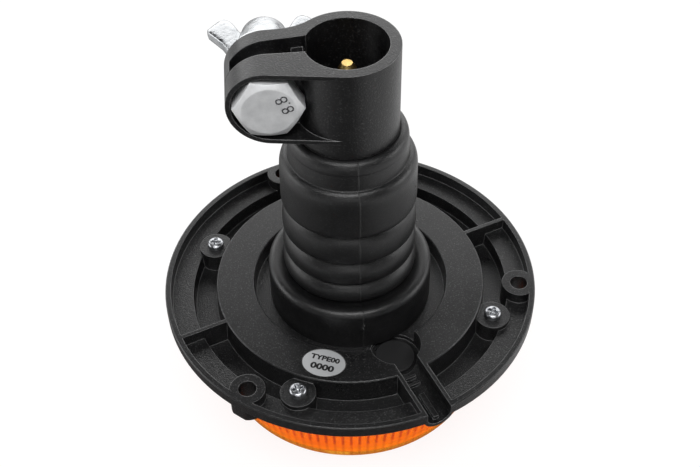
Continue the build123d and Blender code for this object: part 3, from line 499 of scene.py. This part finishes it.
# Radius and height over the rim of the foot, the two lower rings, the band and the collar
foot_and_rings = [
    (27.3, -5.5), (27.3, -5.5), (27.35, 2), (27.35, 6.6), (27.3, 9.0), (26.4, 10.3), (24.9, 10.75),
    (23.2, 10.3), (21.9, 9.7), (20.3, 9.4), (19.8, 9.9), (20.2, 10.8), (21.5, 10.9), (21.8, 11.1),
    (21.95, 12.0), (21.9, 13.5), (21.5, 15.0), (20.8, 16.1), (19.7, 17.1), (18.9, 17.7), (18.7, 18.4),
    (19.2, 18.95), (21.2, 19.0), (21.6, 19.2), (21.8, 20.1), (21.7, 22.2), (21.3, 24.0), (20.5, 25.4),
    (19.5, 26.5), (18.8, 27.1), (18.6, 27.7), (18.6, 27.7)]
band_and_collar = [
    (18.6, 27.7), (18.6, 27.7), (19.1, 28.25), (21.1, 28.3), (21.5, 28.5), (21.7, 29.3), (21.65, 31.8),
    (21.4, 34), (21.0, 35.9), (20.3, 37.3), (19.4, 38.3), (18.8, 38.9), (18.8, 39.5), (21.2, 39.8),
    (21.55, 40.0), (21.65, 40.9), (21.6, 42.5), (21.5, 48), (21.5, 52.6), (21.3, 54.6), (20.6, 56.2),
    (19.6, 57.0), (18.9, 57.1), (18.75, 57.5), (18.7, 59.5), (18.55, 62.4), (18.5, 62.7), (18.6, 62.9),
    (18.55, 64.0), (18.3, 65.2), (17.6, 66.3), (16.6, 66.8), (15.9, 66.75), (15.75, 66.5),
    (15.75, 66.5)]
lower_inside = [(8.0, 27.7), (8.0, 7.05), (22.05, 0.95), (22.05, -5.5)]
upper_inside = [(14.7, 66.5), (14.7, 59.8), (16.5, 59.8), (16.5, 56.7), (14.7, 56.7), (14.7, 48.5),
                (8.0, 48.5), (8.0, 27.7)]


def softened(points, rounds=3):
    """Corner-cut line through a control polyline: each round puts two points on every run, a
    quarter and three quarters along it, which tends to a smooth quadratic spline."""
    line = np.asarray(points, float)
    for _ in range(rounds):
        cut = np.empty((2 * len(line) - 2, 2))
        cut[0::2] = 0.75 * line[:-1] + 0.25 * line[1:]
        cut[1::2] = 0.25 * line[:-1] + 0.75 * line[1:]
        line = np.concatenate([line[:1], cut, line[-1:]])
    return line


def turned(profile, angles):
    """Points of a profile of radius and height carried round Z: x = r cos a, y = r sin a, z = h."""
    radius, height = profile[:, 0][:, None], profile[:, 1][:, None]
    return np.stack([radius * np.cos(angles), radius * np.sin(angles), height + 0 * angles], -1)


def pushed_out(points, rise):
    """Moves each point away from the Z axis by its own rise in millimetres."""
    scale = 1 + rise / np.maximum(np.hypot(points[..., 0], points[..., 1]), 1)
    return points * np.stack([scale, scale, np.ones_like(scale)], -1)


def seamed(points):
    """Thin raised line along the mould seam, a bell of the distance from it, with a rough gate
    mark on the foot: a wider bell round the gate's height, broken up by two sine waves."""
    angles = np.arctan2(points[..., 1], points[..., 0])
    radius = np.hypot(points[..., 0], points[..., 1])
    away = ((angles - SEAM_ANGLE + math.pi) % (2 * math.pi) - math.pi) * radius
    line = SEAM_HEIGHT * np.exp(-(away / SEAM_WIDTH) ** 2)
    beside = away - 0.25 * np.sin(2.6 * points[..., 2])
    above = points[..., 2] - GATE_HEIGHT
    gate = GATE_RISE * np.exp(-(beside / GATE_WIDTH) ** 2 - (above / GATE_TALL) ** 2)
    return pushed_out(points, line + gate * (1 + 0.5 * np.sin(7 * points[..., 2])))


# Close points by the seam, wider ones round the rest
SEAM_REACH = 0.03
near_seam = SEAM_ANGLE + np.linspace(-SEAM_REACH, SEAM_REACH, 29)
round_rest = SEAM_ANGLE + np.linspace(SEAM_REACH, 2 * math.pi - SEAM_REACH, 250)[1:-1]
stem_angles = np.concatenate([near_seam, round_rest])
# The pale edge tone is a painted highlight along the rounded lips of the rings.
stem_rubber = finish("stem rubber", BLACK, WORN_BLACK, (0.27, 0.39), grain=2600.0, bump=0.0001,
                     broad=90.0, edge=0.0005, edge_wear_and_highlight=(0.05, 0.05, 0.05), dust=0.4,
                     dust_scale=520.0, speckle=0.2)


def rubber_surface(name, outline, inside, node, bodies, bend_start, bend_end):
    """Rubber of revolution from a softened outer line and a plain inner line. Its bodies and its
    two heights in metres, on either side of a hinge, are not used."""
    outer_points = seamed(turned(softened(outline), stem_angles))
    inner_points = turned(np.asarray(inside, float), stem_angles)
    points = np.concatenate([outer_points, inner_points])
    points[..., 2] += RIM_TOP
    piece = new_piece(name, grid_mesh(name, points * MM, close_rows=True), stem_rubber)
    split_edges(piece, 50)
    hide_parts(node)
    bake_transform(piece)


# Heights in metres on either side of each surface's hinge
LOWER_BEND = (0.0545, 0.0705)
UPPER_BEND = (0.0715, 0.091)
rubber_surface("stem_foot_and_rings", foot_and_rings, lower_inside, "rubber_stem_lower",
               ("base", "neck"), *LOWER_BEND)
rubber_surface("stem_band_and_collar", band_and_collar, upper_inside, "rubber_stem_upper",
               ("neck", "socket"), *UPPER_BEND)

# Pole socket: glass-filled black plastic with two clamp ears, moulded satin. Its edges are
# painted paler, a painted highlight along its rounded edges.
socket_plastic = finish("black socket plastic", (0.0035, 0.0035, 0.004), WORN_BLACK, (0.27, 0.38),
                        grain=1800.0, bump=0.0001, broad=120.0, edge=0.0004,
                        edge_wear_and_highlight=(0.26, 0.26, 0.262), dust=0.5, speckle=0.32)
dress(socket_plastic, "pole_socket")

# Clamp bolt: cold-formed zinc plated steel. Its hexagon head has a turned face with a strength
# grade standing on it, and its shank a coarse thread.
BOLT_X, BOLT_Z = -23.1, 127.1
HEAD_FACE_Y, HEAD_SEAT_Y, BOLT_END_Y = -13.3, -5.8, 25.4
FLATS = 18.0
FACE_RADIUS, FACE_DROP = 7.9, 0.06
HEX_TURN = math.radians(3)
HEX_POINTS = 144
CHAMFER = math.tan(math.radians(30))
THREAD_RADIUS, THREAD_DEPTH, THREAD_PITCH = 5.95, 0.62, 1.75
HEAD_EDGE, SEAT_SHARE = 0.4, 0.985
THREAD_RUNOUT = 0.9
TIP_RADIUS, END_RADIUS, TIP_EDGE = 5.1, 4.7, 0.4


def along_bolt(points):
    """Turns points whose Z runs along the bolt, so that Z becomes Y and the axis is the bolt's."""
    return np.stack([BOLT_X - points[..., 0], points[..., 2], BOLT_Z + points[..., 1]], -1)


hex_angles = np.linspace(0, 2 * math.pi, HEX_POINTS, endpoint=False) + HEX_TURN


def bolt_ring(reach, height):
    """Row of points round the bolt, with a reach and a height along it for all or for each point."""
    level = height + 0 * hex_angles
    return np.stack([reach * np.cos(hex_angles), reach * np.sin(hex_angles), level], -1)


# Hexagon: the side's distance is half the flats over the cosine of the angle from the nearest
# flat's middle; the chamfer cone drops from the face circle to meet it
from_flat = (hex_angles - HEX_TURN) % math.radians(60) - math.radians(30)
hex_reach = FLATS / 2 / np.cos(from_flat)
chamfer_drop = (hex_reach - FACE_RADIUS) * CHAMFER + FACE_DROP
head_rows = [bolt_ring(radius, HEAD_FACE_Y + drop) for radius, drop in
             ((0.02, 0), (3, 0), (6, 0), (7.5, 0), (7.8, 0.02), (FACE_RADIUS, FACE_DROP))]
for share in (0.5, 1.0):
    chamfer_reach = FACE_RADIUS + (hex_reach - FACE_RADIUS) * share
    head_rows.append(bolt_ring(chamfer_reach, HEAD_FACE_Y + chamfer_drop * share))
head_rows.append(bolt_ring(hex_reach, HEAD_SEAT_Y - HEAD_EDGE))
head_rows.append(bolt_ring(SEAT_SHARE * hex_reach, HEAD_SEAT_Y))
thread_heights = np.linspace(HEAD_SEAT_Y, BOLT_END_Y - THREAD_RUNOUT, 150)
bolt_shank = threaded(THREAD_RADIUS, THREAD_DEPTH, THREAD_PITCH, thread_heights, hex_angles)
tip_rows = [bolt_ring(TIP_RADIUS, BOLT_END_Y - TIP_EDGE), bolt_ring(END_RADIUS, BOLT_END_Y)]
bolt_points = along_bolt(np.concatenate([np.stack(head_rows), bolt_shank, np.stack(tip_rows)])) * MM
bolt_zinc = zinc_finish("bolt zinc", (0.78, 0.79, 0.80), (0.94, 0.95, 0.96), (0.34, 0.48), dust=1.0,
                        dust_scale=450.0, Metallic=0.25)
hex_bolt = new_piece("hex_bolt", grid_mesh("hex_bolt", bolt_points, cap_start=True, cap_end=True),
                     bolt_zinc, "socket")
split_edges(hex_bolt, 25)
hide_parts("clamp_bolt")


def printed(name, words, height, weight, thickness, place, width=None):
    """Lettering as a mesh: a flat text with strokes widened by a weight, centred, scaled to a
    height and, if given, a width in millimetres, given a thickness and moved by a matrix."""
    text = bpy.data.curves.new(name, "FONT")
    text.body = words
    text.align_x = "CENTER"
    text.offset = weight
    text.extrude = 0.05
    text.resolution_u = 4
    holder = bpy.data.objects.new(name, text)
    scene.collection.objects.link(holder)
    bpy.context.view_layer.update()
    depsgraph = bpy.context.evaluated_depsgraph_get()
    mesh = bpy.data.meshes.new_from_object(holder.evaluated_get(depsgraph))
    bpy.data.objects.remove(holder)
    flat = np.empty(len(mesh.vertices) * 3)
    mesh.vertices.foreach_get("co", flat)
    corners = flat.reshape(-1, 3)
    low, high = corners.min(0), corners.max(0)
    size = height / (high[1] - low[1])
    stretch = width / (high[0] - low[0]) if width else size
    corners = (corners - (low + high) / 2) * (stretch, size, thickness / (high[2] - low[2]))
    turned_corners = corners @ np.array(place.to_3x3()).T + np.array(place.translation)
    mesh.vertices.foreach_set("co", (turned_corners * MM).ravel())
    mesh.update()
    return mesh


# Grade: two figures that stand on the face beside its middle, read from one side
GRADE_TURN = math.radians(116)
GRADE_HEIGHT, GRADE_RISE = 3.7, 0.1
grade_place = Matrix(((math.cos(GRADE_TURN), -math.sin(GRADE_TURN), 0),
                      (0, 0, -1),
                      (math.sin(GRADE_TURN), math.cos(GRADE_TURN), 0))).to_4x4()
grade_place.translation = Vector((BOLT_X + 4.5, HEAD_FACE_Y, BOLT_Z + 2.15))
# The figures are painted dark, a painted shade: they are of the head's own zinc.
grade_shade_zinc = zinc_finish("grade marking", (0.05, 0.05, 0.055), (0.14, 0.14, 0.15), (0.40, 0.55))
grade_mesh = printed("strength_grade", "8.8", GRADE_HEIGHT, 0.0, GRADE_RISE, grade_place)
new_piece("strength_grade", grade_mesh, grade_shade_zinc, "socket")

# Washer: a flat ring stamped from steel and zinc plated. It lies between the wing nut and the
# rear clamp ear, and slides with the nut.
washer_zinc = zinc_finish("washer zinc", (0.5, 0.51, 0.52), (0.7, 0.71, 0.72), (0.26, 0.38))
dress(washer_zinc, "clamp_washer")

# Wing nut: cast in one, tumbled and zinc plated, so its corners are round. A tapered hub with a
# threaded bore carries two flat wings.
NUT_BASE_Y = 10.5
NUT_VOXEL = 0.00028
hub_angles = np.linspace(0, 2 * math.pi, 64, endpoint=False)
hub_line = softened([(8.6, 0.1), (9.1, 0.3), (9.05, 1.3), (8.5, 4.5), (7.8, 8.6), (7.15, 11.4),
                     (6.85, 12.7), (6.4, 12.9)], 2)
hub_line = np.concatenate([[(6.15, 0.0)], hub_line, [(6.15, 12.8)]])
hub_points = turned(hub_line, hub_angles)
hub_points[..., 2] += NUT_BASE_Y
nut_parts = [grid_mesh("hub", along_bolt(hub_points) * MM, close_rows=True)]
# Wings: edges in plan, out from the bolt and along it. Each section between them is a squared
# ellipse, its cosine and sine raised to a power under one.
front_edge = np.array([(7.0, 1.1), (8.9, 1.5), (10.8, 4.0), (12.6, 8.0), (14.9, 11.3), (16.7, 13.8),
                       (17.1, 15.6)])
back_edge = np.array([(6.3, 12.4), (7.2, 13.3), (8.0, 15.1), (8.9, 17.3), (10.2, 19.5), (11.7, 20.3),
                      (13.4, 19.8)])
wing_half = np.array([1.85, 1.85, 1.8, 1.75, 1.7, 1.65, 1.2])
section_angles = np.linspace(0, 2 * math.pi, 40, endpoint=False)
SQUARENESS = 0.32
wave_x = np.sign(np.cos(section_angles)) * np.abs(np.cos(section_angles)) ** SQUARENESS
wave_z = np.sign(np.sin(section_angles)) * np.abs(np.sin(section_angles)) ** SQUARENESS
middle, half = (front_edge + back_edge) / 2, (front_edge - back_edge) / 2
plan = middle[:, None, :] + half[:, None, :] * wave_x[None, :, None]
for side in (-1, 1):
    wing = np.stack([BOLT_X + side * plan[..., 0], NUT_BASE_Y + plan[..., 1],
                     BOLT_Z + wing_half[:, None] * wave_z[None, :]], -1)
    if side < 0:
        wing = wing[:, ::-1]
    nut_parts.append(grid_mesh("wing", wing * MM, cap_start=True, cap_end=True))
cast_zinc = finish("cast zinc", (0.26, 0.27, 0.28), (0.50, 0.51, 0.52), (0.20, 0.34), grain=700.0,
                   bump=0.00012, broad=260.0, edge=0.0004, edge_wear_and_highlight=(0.85, 0.86, 0.87), Metallic=1.0)
cast_nut = new_piece("cast_wing_nut", joined("cast_wing_nut", nut_parts), cast_zinc,
                     "nut")
fused = cast_nut.modifiers.new("fused", "REMESH")
fused.mode = "VOXEL"
fused.voxel_size = NUT_VOXEL
fused.use_smooth_shade = True
rounded = cast_nut.modifiers.new("tumbled", "SMOOTH")
rounded.factor = 0.5
rounded.iterations = 4
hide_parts("wing_nut")

# Steel parts inside: the turned insert that the stem's foot is moulded over, the retainer plate
# that its four screws pull against the housing's floor, and the board's screws. All are zinc plated.
inner_steel = zinc_finish("inner steel", (0.45, 0.46, 0.47), (0.62, 0.63, 0.64), (0.3, 0.42))
dress(inner_steel, "stem_insert", "stem_retainer", "stem_screws", "board_screws")

# Contacts: a turned brass pin, sprung on a terminal disc in its insulator, and an earth strip.
# The pin's tip is polished by use, and the lathe left fine rings on it.
brass = finish("turned brass", (0.72, 0.47, 0.15), (0.95, 0.68, 0.27), (0.2, 0.36), grain=2200.0,
               bump=0.00003, broad=300.0, edge=0.0002, Metallic=1.0)
LATHE_LINES, LATHE_DEPTH = 5200.0, 0.00005
brass_tree = brass.node_tree
lathe = brass_tree.nodes.new("ShaderNodeMapping")
lathe.inputs["Scale"].default_value = (0.05, 0.05, 1)
link(brass_tree, object_place(brass_tree), lathe.inputs["Vector"])
rings = brass_tree.nodes.new("ShaderNodeBump")
rings.inputs["Distance"].default_value = LATHE_DEPTH
link(brass_tree, noise(brass_tree, LATHE_LINES, 2, lathe.outputs["Vector"]), rings.inputs["Height"])
link(brass_tree, brass_tree.nodes["Bump"].outputs["Normal"], rings.inputs["Normal"])
link(brass_tree, rings.outputs["Normal"], brass_tree.nodes["Principled BSDF"].inputs["Normal"])
dress(brass, "contact_pin", "contact_terminal")
spring_wire = finish("spring wire", (0.4, 0.4, 0.42), (0.55, 0.55, 0.57), (0.25, 0.35), Metallic=1.0)
dress(spring_wire, "contact_spring", "ground_contact")
insulator = finish("insulator", (0.012, 0.012, 0.012), (0.018, 0.018, 0.018), (0.5, 0.6))
dress(insulator, "contact_holder")

# Lens: moulded from clear amber plastic and held by the four screws. Fine upright flutes inside
# its wall spread the light; they end in round feet above a plain band.
FLUTES = 108
FLUTE_DEPTH = 1.05
FLUTE_END = 10.5
FOOT_RADIUS = 1.6
lens_outside = [(20, 0), (41.4, 0), (44.2, 0.35), (46.2, 2.2), (46.75, 5.2), (48.6, 15), (50.95, 27.1),
                (54.4, 27.1), (54.4, 30.1)]
lens_inside = [(48.9, 30.1), (48.85, 29.0), (48.2, 25.5), (47.6, 22), (46.9, 18.5), (46.2, 15),
               (45.75, 12.7), (45.62, 12.1), (45.5, 11.6), (45.45, 11.3), (45.4, 11.0), (45.37, 10.75),
               (45.33, 10.5), (44.9, 8), (44.2, 5.2), (42.6, 3.0), (40.6, 2.4), (20, 2.4)]
flute_angles = np.linspace(0, 2 * math.pi, FLUTES * 10, endpoint=False)


def fluted(points):
    """Rounded flutes on a turned inner wall: each point moves in by the depth times how far a
    rounded wave of its angle has dropped, faded in as a quarter circle above the flutes' feet."""
    angles = np.arctan2(points[..., 1], points[..., 0])
    wave = np.abs(np.cos(0.5 * FLUTES * angles)) ** 0.6
    lift = np.clip((points[..., 2] - FLUTE_END) / FOOT_RADIUS, 0, 1)
    fade = np.sqrt(np.clip(1 - (1 - lift) ** 2, 0, 1))
    return pushed_out(points, -FLUTE_DEPTH * (1 - wave) * fade)


lens_points = np.concatenate([turned(np.asarray(lens_outside, float), flute_angles),
                              fluted(turned(np.asarray(lens_inside, float), flute_angles))])
# The faint glow stands for light that scatters in the plastic
amber = finish("amber plastic", (1.0, 0.255, 0.001), (1.0, 0.31, 0.002), (0.06, 0.12), grain=900.0,
               bump=0.00001, broad=40.0, edge=0.0002, Transmission_Weight=0.62, IOR=1.49,
               Emission_Strength=0.24)
# Painted shade: the colour is darker along each flute's root, where the wall is thickest: a wave
# of the angle, weaker below the flutes' feet. The glow carries the same lines.
FLUTE_SHADE_AMBER = (0.5, 0.07, 0.0005)
lens_tree = amber.node_tree
lens_shader = lens_tree.nodes["Principled BSDF"]
lens_spot = lens_tree.nodes.new("ShaderNodeSeparateXYZ")
link(lens_tree, object_place(lens_tree), lens_spot.inputs[0])
lens_angle = calculated(lens_tree, "ARCTAN2", lens_spot.outputs["Y"], lens_spot.outputs["X"])
flute_turn = calculated(lens_tree, "MULTIPLY", lens_angle, FLUTES)
root_line = ranged(lens_tree, calculated(lens_tree, "COSINE", flute_turn, 0), -0.1, -0.95, 0.0, 0.9)
foot_low, foot_high = FLUTE_END * MM, (FLUTE_END + 0.6) * MM
above_feet = ranged(lens_tree, lens_spot.outputs["Z"], foot_low, foot_high, 0.4, 1.0)
flute_shade_mask = calculated(lens_tree, "MULTIPLY", root_line, above_feet)
plain_amber = lens_shader.inputs["Base Color"].links[0].from_socket
flute_shaded_amber = mixed(lens_tree, flute_shade_mask, plain_amber, FLUTE_SHADE_AMBER)
link(lens_tree, flute_shaded_amber, lens_shader.inputs["Base Color"])
link(lens_tree, flute_shaded_amber, lens_shader.inputs["Emission Color"])
lens_mesh = grid_mesh("lens_shell", lens_points * MM, cap_start=True, cap_end=True)
lens_shell = new_piece("lens_shell", lens_mesh, amber, "base")
split_edges(lens_shell, 40)
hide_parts("lens")

# Light parts inside: a white board of light-emitting diodes on its aluminium heat sink, a
# metal-coated reflector, the driver's parts, the connector, and the two leads up the stem.
board_paint = finish("white solder mask", (0.75, 0.76, 0.74), (0.85, 0.86, 0.84), (0.35, 0.45),
                     edge=0.0001)
dress(board_paint, "led_board")
connector_nylon = finish("connector nylon", (0.70, 0.70, 0.67), (0.80, 0.80, 0.77), (0.4, 0.5),
                         edge=0.0001)
dress(connector_nylon, "lead_connector")
led_plastic = finish("diode cover", (0.8, 0.68, 0.3), (0.9, 0.8, 0.4), (0.15, 0.2), edge=0.0001)
dress(led_plastic, "leds")
bright_coat = finish("bright coat", (0.75, 0.75, 0.77), (0.85, 0.85, 0.86), (0.12, 0.2), Metallic=1.0)
dress(bright_coat, "reflector")
sheet_metal = finish("sheet aluminium", (0.6, 0.61, 0.63), (0.72, 0.73, 0.75), (0.3, 0.45),
                     Metallic=1.0)
dress(sheet_metal, "heat_sink")
part_plastic = finish("driver plastic", (0.02, 0.02, 0.025), (0.04, 0.04, 0.05), (0.35, 0.5))
dress(part_plastic, "driver_parts")
lead_cover = finish("lead cover", (0.2, 0.01, 0.01), (0.3, 0.02, 0.02), (0.4, 0.5))
dress(lead_cover, "leads_lower", "leads_upper")

# Oval label: silver print film, stuck in a shallow seat on the plateau. Its black print is plain
# words and zeros, stretched to the height and width of two short lines.
LABEL_ANGLE = math.radians(-107.7)
LABEL_RADIUS = 38.6
PRINT_TURN = LABEL_ANGLE + math.pi / 2 + math.radians(-4)
PRINT_WEIGHT, PRINT_THICKNESS = 0.042, 0.04
label_film = finish("silver film", (0.50, 0.51, 0.52), (0.60, 0.61, 0.62), (0.38, 0.5), grain=2500.0,
                    bump=0.00001, Metallic=0.3)
dress(label_film, "oval_label")
ink = finish("black ink", (0.008, 0.008, 0.008), (0.014, 0.014, 0.014), (0.4, 0.5), edge=0.00005)
label_meshes = []
label_middle = Vector((LABEL_RADIUS * math.cos(LABEL_ANGLE), LABEL_RADIUS * math.sin(LABEL_ANGLE),
                       RIM_TOP + 0.01))
for words, width, height, line in (("TYPE00", 9.6, 2.0, 1.75), ("0000", 7.8, 2.45, -1.75)):
    place = Matrix.Rotation(PRINT_TURN, 4, "Z")
    place.translation = label_middle + place.to_3x3() @ Vector((0, line, 0))
    label_meshes.append(printed("print", words, height, PRINT_WEIGHT, PRINT_THICKNESS, place, width))
label_print = new_piece("label_print", joined("label_print", label_meshes), ink, "base")
